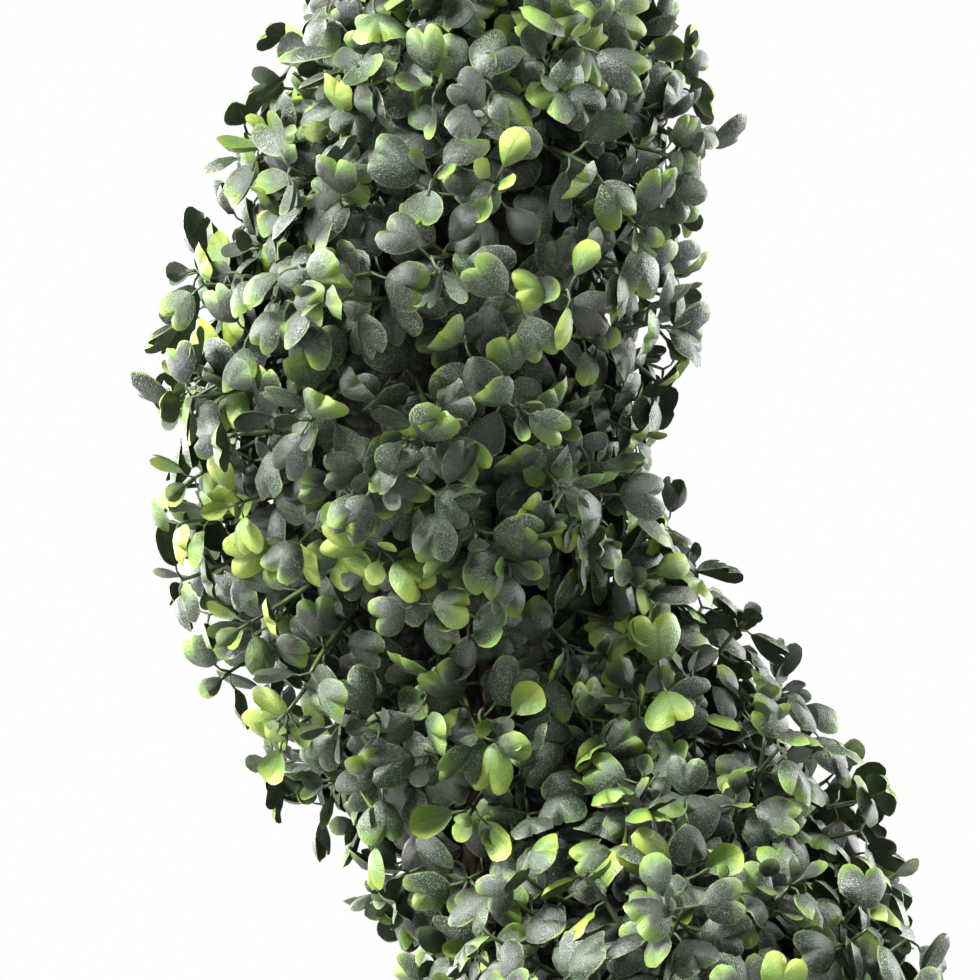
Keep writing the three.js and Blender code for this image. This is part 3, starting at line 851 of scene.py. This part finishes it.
class Spray:
    """One twig with its leaves, each one a list of its basis, place, form, kind and tone."""

    def __init__(self, random, root, heading, aside, length):
        self.random, self.root, self.heading, self.aside, self.length = random, root, heading, aside, length
        self.leaves = []

    def lot(self, count):
        """One of the whole numbers below a count."""
        return int(self.random.random() * count)

    def form(self, family):
        return family, self.lot(len(FORMS[family]))

    def spread(self, where):
        return math.radians(self.random.uniform(*SPREADS[where]))

    def add_leaf(self, share, azimuth, spread, roll, sag, size, form, kind):
        """A leaf at a share of the twig, turned round it, spread from it and rolled on its stalk."""
        heading = unit(self.heading + 2 * TWIG_BEND * share * self.aside)
        out = unit(np.cross(heading, self.aside) + 1e-9)
        out = turned_about(out, heading, azimuth)
        direction = unit(heading * math.cos(spread) + out * math.sin(spread) - UP * sag)
        broadside = unit(np.cross(direction, heading) + 1e-9)
        broadside = turned_about(broadside, direction, roll)
        basis = np.stack([broadside, direction, np.cross(broadside, direction)], axis=1) * size
        bend = TWIG_BEND * share * share
        place = self.root + self.length * (share * self.heading + bend * self.aside)
        self.leaves.append([basis, place, form, kind, self.lot(FACE_TONES)])

    def add_pair(self, node, turn, size, kind):
        """Two opposite leaves: dark at the foot, and further out more often of the spray's kind."""
        random = self.random
        top = node == len(TWIG_NODES) - 1
        for twin in (0, 1):
            spread = self.spread("top" if top else "pair")
            azimuth = turn + node * math.pi / 2 + twin * math.pi + random.normal(0, TURN_SCATTER)
            roll = random.normal(0, ROLL_SCATTER)
            sag = random.uniform(*LEAF_SAG)
            own = size * random.uniform(*LEAF_SIZE)
            shown = kind if top or random.random() < INNER_LOT else DARK
            if random.random() < STRAY_LOT:
                shown = TIPPED
            lot = random.random()
            if node == 0:
                shown = DARK
                form = ("under", int(lot * len(FORMS["under"])))
            else:
                form = self.form("cupped" if lot < CUPPED_LOT else "full")
            self.add_leaf(TWIG_NODES[node], azimuth, spread, roll, sag, own, form, shown)

    def move(self, shift):
        self.root = self.root + shift
        for leaf in self.leaves:
            leaf[1] = leaf[1] + shift


def grow_spray(strand, settings, along, angle, random):
    """A spray rooted in the core at an arc length and an angle round it."""
    centre, ahead, across, side = strand.frame(along)
    outward = across * math.cos(angle) + side * math.sin(angle)
    around = np.cross(ahead, outward)
    reach = strand.reach(along)
    small = min(1.0, LEAST_SIZE + (1 - LEAST_SIZE) * reach / FULL_REACH)
    lean, tilt = (math.tan(math.radians(random.uniform(*limits))) for limits in (LEAN, TILT))
    heading = unit(outward + ahead * lean + around * tilt - UP * random.uniform(*DROOP))
    aside = turned_about(unit(np.cross(heading, UP + 0.01)), heading, random.uniform(0, TURN))
    root_out = strand.core(along) - ROOT_DEPTH
    length = max(reach * random.uniform(*TWIG_REACH) - root_out, LEAST_TWIG)
    spray = Spray(random, centre + outward * root_out, heading, aside, length)

    lot = random.random()
    kind = LIME if lot < LIME_LOT else TIPPED if lot < TIPPED_LOT else DARK
    turn = random.uniform(0, TURN)
    azimuth = turn + random.uniform(0, TURN)
    form = spray.form("under")
    spread = spray.spread("foot")
    roll = random.normal(0, FOOT_ROLL_SCATTER)
    spray.add_leaf(FOOT_NODE, azimuth, spread, roll, FIXED_SAG, small, form, DARK)
    for node in range(len(TWIG_NODES)):
        spray.add_pair(node, turn, random.uniform(*PAIR_SIZE) * small, kind)
    if random.random() < YOUNG_LOT:
        for twin in (0, 1):
            azimuth = turn + 3 * math.pi / 2 + twin * math.pi
            spread = spray.spread("young")
            spray.add_leaf(1.0, azimuth, spread, 0.0, FIXED_SAG, small, spray.form("young"), kind)

    # The whole spray moves in or out until its furthest tip is at a reach of its own, drawn by lot
    tip = np.array([0, settings.stalk + settings.length * BLADE_REACH, 0])
    tips = np.array([place + basis @ tip for basis, place, *_ in spray.leaves]) - centre
    off_line = np.linalg.norm(tips - np.outer(tips @ ahead, ahead), axis=1)
    target = reach + (PROUD - PROUD_RANGE * random.random() ** PROUD_POWER) * MM * small
    spray.move(outward * np.clip(target - off_line.max(), *MOST_MOVED))
    return spray


def keeps_clear(leaf, settings, stem):
    """Whether a leaf stays off the stem."""
    basis, root, *_ = leaf
    for share, beside in ((0.3, 0), (0.65, -0.5), (0.65, 0.5), (1.0, 0)):
        offset = np.array([beside * settings.width, (settings.stalk + settings.length) * share, 0])
        place = root + basis @ offset
        radius = stem_radius(stem, place[2]) + STEM_ROOM
        if place[2] < stem.top_height and math.hypot(place[0], place[1]) < radius:
            return False
    return True


def fitted_spray(strand, settings, stem, along, angle, random):
    """The spray, of a few tries, that keeps the most of its leaves clear of the stem."""
    best = None
    for _ in range(SPRAY_TRIES):
        spray = grow_spray(strand, settings, along, angle, random)
        grown = len(spray.leaves)
        spray.leaves = [leaf for leaf in spray.leaves if keeps_clear(leaf, settings, stem)]
        if best is None or len(spray.leaves) > len(best.leaves):
            best = spray
        if len(spray.leaves) == grown:
            break
    return best


def grow_sprays(scene):
    """Every spray of the strand, in each portion, the same at every run."""
    strand = Strand(scene.topiary_strand)
    settings, stem = scene.topiary_leaves, scene.topiary_stem
    random = np.random.default_rng(settings.seed)
    portions = [[] for _ in range(PORTIONS)]
    for count in range(settings.sprays):
        share = (count + 0.5) / settings.sprays
        along = np.interp(share, strand.surface, strand.along) + random.normal(0, ALONG_SCATTER) * MM
        along = min(max(along, FOOT_MARGIN), strand.length - TIP_MARGIN)
        angle = strand.crowded(along, GOLDEN_ANGLE * count + random.normal(0, ANGLE_SCATTER))
        spray = fitted_spray(strand, settings, stem, along, angle, random)
        portions[min(int(along / strand.length * PORTIONS), PORTIONS - 1)].append(spray)
    return portions


def portion_masses(portion):
    """The CAD masses that a portion of the strand stands for."""
    each = MASS_COUNT // PORTIONS
    return MASSES[portion * each : (portion + 1) * each]


# Sides of the pot and its fill, and the fill's room inside the pot
POT_SIDES = 96
FILL_ROOM = 0.5 * MM


class TOPIARY_OT_pot(bpy.types.Operator):
    """Turns the plain moulded pot and its rolled rim"""

    bl_idname = "topiary.pot"
    bl_label = "Pot"

    EDGE = 2 * MM
    FLOOR = 5 * MM
    ROUNDING = 0.7 * MM

    def execute(self, context):
        pot = context.scene.topiary_pot
        rim_foot = pot.height - pot.rim_height
        shoulder = pot.mouth_radius - pot.rim_out
        inner = shoulder - pot.wall
        edge = self.EDGE
        profile = [
            (pot.base_radius - edge, 0),
            (pot.base_radius, edge),
            (shoulder, rim_foot),
            (pot.mouth_radius - edge, rim_foot),
            (pot.mouth_radius, rim_foot + edge),
            (pot.mouth_radius, pot.height - edge),
            (pot.mouth_radius - edge, pot.height),
            (inner + edge, pot.height),
            (inner, pot.height - edge),
            (inner, rim_foot),
            (pot.base_radius - pot.wall, self.FLOOR),
        ]
        piece = turned_shell("pot_shell", profile, POT_SIDES)
        rounding = piece.modifiers.new("Rounding", "BEVEL")
        rounding.width = self.ROUNDING
        rounding.segments = 2
        rounding.limit_method = "ANGLE"
        rounding.angle_limit = math.radians(25)
        bpy.ops.object.modifier_apply(modifier=rounding.name)
        bpy.ops.object.shade_smooth_by_angle(angle=math.radians(40))
        dress(piece, pot_material(pot), "pot_plastic", "pot")
        return {"FINISHED"}


class TOPIARY_OT_fill(bpy.types.Operator):
    """Casts the cement in the pot, with grit and pebbles on its top"""

    bl_idname = "topiary.fill"
    bl_label = "Cement fill"

    # Drops are measured down from the foot of the pot's rim. The top rises by the dome between the
    # wall and the shoulder's radius. Pebble sizes are radii in millimetres.
    BOTTOM = 5.3 * MM
    WALL_DROP = 4 * MM
    TOP_DROP = 2 * MM
    RINGS = 26
    DOME = 6 * MM
    SHOULDER = 48 * MM
    RELIEF_DROP = 3 * MM
    RELIEF = 1.3 * MM
    RELIEF_GRAIN = 14 * MM
    PEBBLES = 260
    PEBBLE_DROP = 1 * MM
    PEBBLE_MARGIN = 4 * MM
    PEBBLE_SEED = 77
    PEBBLE_SIZE = (0.9, 2.8)
    PEBBLE_LUMPS = 0.28
    PEBBLE_SUNK = 0.3
    STEM_PLACE = 14 * MM

    def execute(self, context):
        pot = context.scene.topiary_pot
        rim_foot = pot.height - pot.rim_height
        wall = pot.mouth_radius - pot.rim_out - pot.wall - FILL_ROOM
        foot = pot.base_radius - pot.wall - FILL_ROOM
        profile = [(foot, self.BOTTOM), (wall, rim_foot - self.WALL_DROP)]
        for share in np.linspace(0, 0.97, self.RINGS):
            radius = wall * (1 - share)
            profile.append((radius, rim_foot - self.TOP_DROP + self.swell(wall, radius)))
        piece = turned_shell("cement_fill", profile, POT_SIDES)
        places = vertex_places(piece)
        for place in places:
            if place[2] > rim_foot - self.RELIEF_DROP:
                spot = Vector((place[0], place[1], 0)) / self.RELIEF_GRAIN
                place[2] += self.RELIEF * noise.fractal(spot, 0.7, 2.1, 4)
        set_places(piece, places)
        bpy.ops.object.shade_smooth_by_angle(angle=math.radians(50))
        pebbles = self.pebbles(rim_foot - self.PEBBLE_DROP, wall - self.PEBBLE_MARGIN)
        piece = join_pieces([piece, pebbles], "cement_fill")
        dress(piece, cement_material(pot), "pot_fill", "pot_fill")
        return {"FINISHED"}

    def swell(self, wall, radius):
        return self.DOME * float(eased(wall - radius, 0, wall - self.SHOULDER))

    def pebbles(self, height, wall):
        """Pebbles half sunk in the cement, each one a lumpy stone."""
        start_piece()
        bpy.ops.mesh.primitive_ico_sphere_add(subdivisions=2, radius=1)
        stone = named_piece("stone")
        places = vertex_places(stone)
        for place in places:
            place *= 1 + self.PEBBLE_LUMPS * noise.noise(Vector(place) * 1.3)
        set_places(stone, places)
        random = np.random.default_rng(self.PEBBLE_SEED)
        frames = []
        for count in range(self.PEBBLES):
            distance = wall * math.sqrt((count + 0.5) / self.PEBBLES)
            if distance < self.STEM_PLACE:
                continue
            angle = GOLDEN_ANGLE * count + random.normal(0, 0.2)
            size = random.uniform(*self.PEBBLE_SIZE) * MM
            turn = Vector(UP).rotation_difference(Vector(random.normal(0, 1, 3))).to_matrix()
            stretch = np.diag(random.uniform(0.6, 1.0, 3)) * size
            rise = height + self.swell(wall, distance) - self.PEBBLE_SUNK * size
            place = np.array([distance * math.cos(angle), distance * math.sin(angle), rise])
            frames.append(np.column_stack([np.array(turn) @ stretch, place]))
        return joined_copies("pebbles", [(Template(stone), np.array(frames), None)])


class TOPIARY_OT_stem(bpy.types.Operator):
    """Models the stem and its boughs, with bark in relief"""

    bl_idname = "topiary.stem"
    bl_label = "Stem and boughs"

    # The limbs' sides and cuts, and how far their feet flare
    STEM_MESH = (28, 260)
    BOUGH_MESH = (16, 26)
    STEM_FLARE = 2 * MM
    BOUGH_FLARE = 3 * MM
    # A bough's radius at its tip, as a share of its foot's, and how far it runs into the core
    BOUGH_TAPER = 0.72
    BOUGH_HOLD = 8 * MM

    def execute(self, context):
        stem = context.scene.topiary_stem
        strand = Strand(context.scene.topiary_strand)
        foot, top = (0, 0, stem.foot_height), (0, 0, stem.top_height)
        radii = (stem.foot_radius, stem.top_radius)
        limbs = [bark_limb("stem", foot, top, radii, *self.STEM_MESH, self.STEM_FLARE)]
        radii = (stem.bough_radius, stem.bough_radius * self.BOUGH_TAPER)
        for name in BOUGHS:
            along = strand.length * (int(name[-2:]) - 0.5) / MASS_COUNT
            centre = strand.frame(along)[0]
            root = np.array([0, 0, centre[2] - stem.bough_rise])
            heading = unit(centre - root)
            level = math.hypot(centre[0], centre[1]) - strand.core(along) + self.BOUGH_HOLD
            tip = root + heading * level / math.hypot(heading[0], heading[1])
            limbs.append(bark_limb(name, root, tip, radii, *self.BOUGH_MESH, self.BOUGH_FLARE))
        piece = join_pieces(limbs, "bark_stem")
        face_outwards()
        bpy.ops.object.shade_smooth_by_angle(angle=math.radians(60))
        dress(piece, bark_material(stem), "bark", "stem", *BOUGHS)
        return {"FINISHED"}


class TOPIARY_OT_core(bpy.types.Operator):
    """Winds the dark foliage mat, its near-black partly painted shade, that closes the inside of the strand
    off
    """

    bl_idname = "topiary.core"
    bl_label = "Core"

    RINGS = 230
    FOOT_GAP = 14 * MM
    TIP_GAP = 18 * MM
    LUMP_SIZES = (9 * MM, 4 * MM)
    LUMP_HEIGHT = 3.2 * MM

    def execute(self, context):
        strand = Strand(context.scene.topiary_strand)
        start_piece()
        path = bpy.data.curves.new("foliage_core", "CURVE")
        path.dimensions = "3D"
        path.bevel_depth = 1.0
        path.bevel_resolution = 5
        path.use_fill_caps = True
        line = path.splines.new("POLY")
        line.points.add(self.RINGS - 1)
        steps = np.linspace(self.FOOT_GAP, strand.length - self.TIP_GAP, self.RINGS)
        for point, along in zip(line.points, steps):
            point.co = (*strand.frame(along)[0], 1)
            point.radius = float(strand.core(along))
        piece = bpy.data.objects.new("foliage_core", path)
        context.scene.collection.objects.link(piece)
        piece.select_set(True)
        context.view_layer.objects.active = piece
        bpy.ops.object.convert(target="MESH")
        piece = context.object
        face_outwards(1e-5)
        normals = np.array([vertex.normal for vertex in piece.data.vertices])
        places = vertex_places(piece)
        large, fine = self.LUMP_SIZES
        lumps = [
            noise.noise(Vector(place) / large) + 0.6 * noise.noise(Vector(place) / fine)
            for place in places
        ]
        set_places(piece, places + normals * np.array(lumps)[:, None] * self.LUMP_HEIGHT)
        bpy.ops.object.shade_smooth()
        dress(piece, core_material(), "leaves", *MASSES)
        return {"FINISHED"}


class TOPIARY_OT_twigs(bpy.types.Operator):
    """Stands the twigs on the core, joined in one piece for each portion"""

    bl_idname = "topiary.twigs"
    bl_label = "Twigs"

    def execute(self, context):
        template = model_twig()
        material = twig_material()
        share = template.places[:, 2:]
        for portion, sprays in enumerate(grow_sprays(context.scene)):
            frames = []
            for spray in sprays:
                across = np.stack([spray.aside, np.cross(spray.heading, spray.aside)]) * TWIG_RADIUS
                frames.append(np.column_stack([*across, spray.heading * spray.length, spray.root]))
            piece = joined_copies(f"twigs_{portion + 1}", [(template, np.array(frames), None)])
            # The bend, which depends on each twig's own length and side
            bends = np.array([spray.aside * spray.length * TWIG_BEND for spray in sprays])
            places = vertex_places(piece).reshape(len(sprays), -1, 3)
            set_places(piece, places + bends[:, None] * share * share)
            dress(piece, material, "leaves", *portion_masses(portion))
        return {"FINISHED"}


class TOPIARY_OT_leaves(bpy.types.Operator):
    """Hangs the leaves on the twigs, each kind joined in one piece for each portion"""

    bl_idname = "topiary.leaves"
    bl_label = "Leaves"

    def execute(self, context):
        settings = context.scene.topiary_leaves
        leaves = {
            (family, number): model_leaf(settings, f"{family}_{number}", form, *FINENESS[family])
            for family, forms in FORMS.items()
            for number, form in enumerate(forms)
        }
        dark, tip, back = settings.dark, settings.tip, settings.back
        materials = (
            leaf_material("Dusted polyethylene leaf", dark, 0x1F3717, 0x4E6A30, 0x62812F, 1.75, back),
            leaf_material("Tipped polyethylene leaf", dark, 0x243F19, tip, 0x86A02E, 0.82, back),
            leaf_material("Lime polyethylene leaf", 0x4C672B, 0x5E7B2E, tip, 0x97AA38, -0.2, 0x5E7634),
        )
        for portion, sprays in enumerate(grow_sprays(context.scene)):
            for kind, label in enumerate(KINDS):
                chosen = {key: ([], []) for key in leaves}
                for spray in sprays:
                    for basis, place, form, own_kind, tone in spray.leaves:
                        if own_kind == kind:
                            chosen[form][0].append(np.column_stack([basis, place]))
                            chosen[form][1].append(tone)
                batches = [
                    (template, np.array(frames), np.array(tones))
                    for key, (frames, tones) in chosen.items()
                    for template in leaves[key]
                ]
                piece = joined_copies(f"leaves_{label}_{portion + 1}", batches)
                dress(piece, materials[kind], "leaves", *portion_masses(portion))
        return {"FINISHED"}


# The area lights: place, height of what they point at on the axis, width, and share of the key power
LIGHTS = {
    "key": ((-1.3, -0.9, 2.3), 0.86, 0.5, 1.0),
    "top": ((0.7, -0.6, 2.5), 0.86, 0.8, 0.22),
    "front": ((0.3, -2.6, 1.0), 0.86, 1.6, 0.08),
    "side": ((-2.0, -0.1, 1.3), 0.86, 1.0, 0.5),
    "rim_left": ((-1.3, 1.5, 1.2), 0.86, 1.4, 0.5),
    "rim_right": ((1.7, 0.9, 1.3), 0.8, 1.4, 0.6),
}


class TOPIARY_OT_studio(bpy.types.Operator):
    """Sets the pale floor, the soft lights and the camera"""

    bl_idname = "topiary.studio"
    bl_label = "Studio"

    FLOOR_SIDES = 128

    def execute(self, context):
        scene = context.scene
        studio = scene.topiary_studio
        start_piece()
        bpy.ops.mesh.primitive_circle_add(
            vertices=self.FLOOR_SIDES, radius=studio.floor_radius, fill_type="NGON"
        )
        floor = named_piece("floor")
        floor.data.materials.append(floor_material(studio))
        scene.view_settings.view_transform = "Standard"
        self.light_world(scene, studio)
        for name, (place, height, size, share) in LIGHTS.items():
            lamp = bpy.data.lights.new(name, "AREA")
            lamp.size = size
            lamp.energy = studio.key_power * share
            light = bpy.data.objects.new(name, lamp)
            light.location = place
            facing = Vector((0, 0, height)) - Vector(place)
            light.rotation_euler = facing.to_track_quat("-Z", "Y").to_euler()
            scene.collection.objects.link(light)
        lens = bpy.data.cameras.new("camera")
        lens.lens = studio.lens
        lens.sensor_width = 36.0
        camera = bpy.data.objects.new("camera", lens)
        camera.location = (studio.camera_aside, -studio.camera_distance, studio.camera_height)
        camera.rotation_euler = (math.pi / 2, 0, 0)
        scene.collection.objects.link(camera)
        scene.camera = camera
        return {"FINISHED"}

    def light_world(self, scene, studio):
        """White where the camera looks past the object, and a softer grey-white as light."""
        scene.world = bpy.data.worlds.new("studio")
        scene.world.use_nodes = True
        scene.world.node_tree.nodes.clear()
        node = functools.partial(add_node, scene.world.node_tree)
        soft = node(BACKGROUND, (0.97, 0.99, 1.0), studio.fill_level)
        shown = node(BACKGROUND, 0xFFFFFF, 1.0)
        node(WORLD_OUTPUT, node(MIX_SHADERS, node(SEEN), soft, shown))


class TOPIARY_PT_panel(bpy.types.Panel):
    """Lists the topiary's pieces and their sizes"""

    bl_label = "Spiral Topiary"
    bl_idname = "TOPIARY_PT_panel"
    bl_space_type = "VIEW_3D"
    bl_region_type = "UI"
    bl_category = "Topiary"

    def draw(self, context):
        for operators, group in STEPS:
            box = self.layout.box()
            for operator in operators:
                box.operator(operator.bl_idname)
            settings = getattr(context.scene, group)
            for name in settings.__annotations__:
                box.prop(settings, name)


GROUPS = {
    "topiary_pot": PotSettings,
    "topiary_stem": StemSettings,
    "topiary_strand": StrandSettings,
    "topiary_leaves": LeafSettings,
    "topiary_studio": StudioSettings,
}
STEPS = (
    ((TOPIARY_OT_pot, TOPIARY_OT_fill), "topiary_pot"),
    ((TOPIARY_OT_stem,), "topiary_stem"),
    ((TOPIARY_OT_core,), "topiary_strand"),
    ((TOPIARY_OT_twigs, TOPIARY_OT_leaves), "topiary_leaves"),
    ((TOPIARY_OT_studio,), "topiary_studio"),
)
OPERATORS = [operator for operators, _ in STEPS for operator in operators]
CLASSES = [*GROUPS.values(), *OPERATORS, TOPIARY_PT_panel]


def register():
    for kind in CLASSES:
        bpy.utils.register_class(kind)
    for name, kind in GROUPS.items():
        setattr(bpy.types.Scene, name, PointerProperty(type=kind))


def unregister():
    for name in GROUPS:
        delattr(bpy.types.Scene, name)
    for kind in reversed(CLASSES):
        bpy.utils.unregister_class(kind)


def main():
    register()
    bpy.ops.topiary.pot()
    bpy.ops.topiary.fill()
    bpy.ops.topiary.stem()
    bpy.ops.topiary.core()
    bpy.ops.topiary.twigs()
    bpy.ops.topiary.leaves()
    bpy.ops.topiary.studio()


if __name__ == "__main__":
    main()
